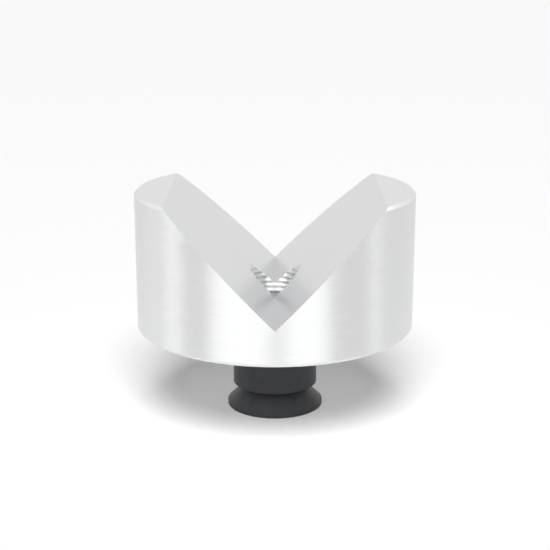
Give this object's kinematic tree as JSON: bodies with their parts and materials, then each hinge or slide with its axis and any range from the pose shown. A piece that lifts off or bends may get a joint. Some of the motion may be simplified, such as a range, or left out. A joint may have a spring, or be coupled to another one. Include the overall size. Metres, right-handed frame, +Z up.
{
  "type": "v block",
  "caption": "Round aluminium V block with a right-angled V milled across its top, on a black steel collar screwed in from below that drops into a bore of a welding table.",
  "frame": {"origin": "middle of the collar's underside, which is the lowest face, on the axis of the turned block", "axes": "+Z up along the axis of the block and the collar, Y along the bottom line of the V, X across the V"},
  "size_m": [0.08, 0.08, 0.0645],
  "materials": {
    "aluminium": "fine turned sides, milled V, satin",
    "black_steel": "turned and black oxidised"
  },
  "bodies": {
    "root": {"v_block": "aluminium", "collar": "black_steel"}
  },
  "joints": []
}
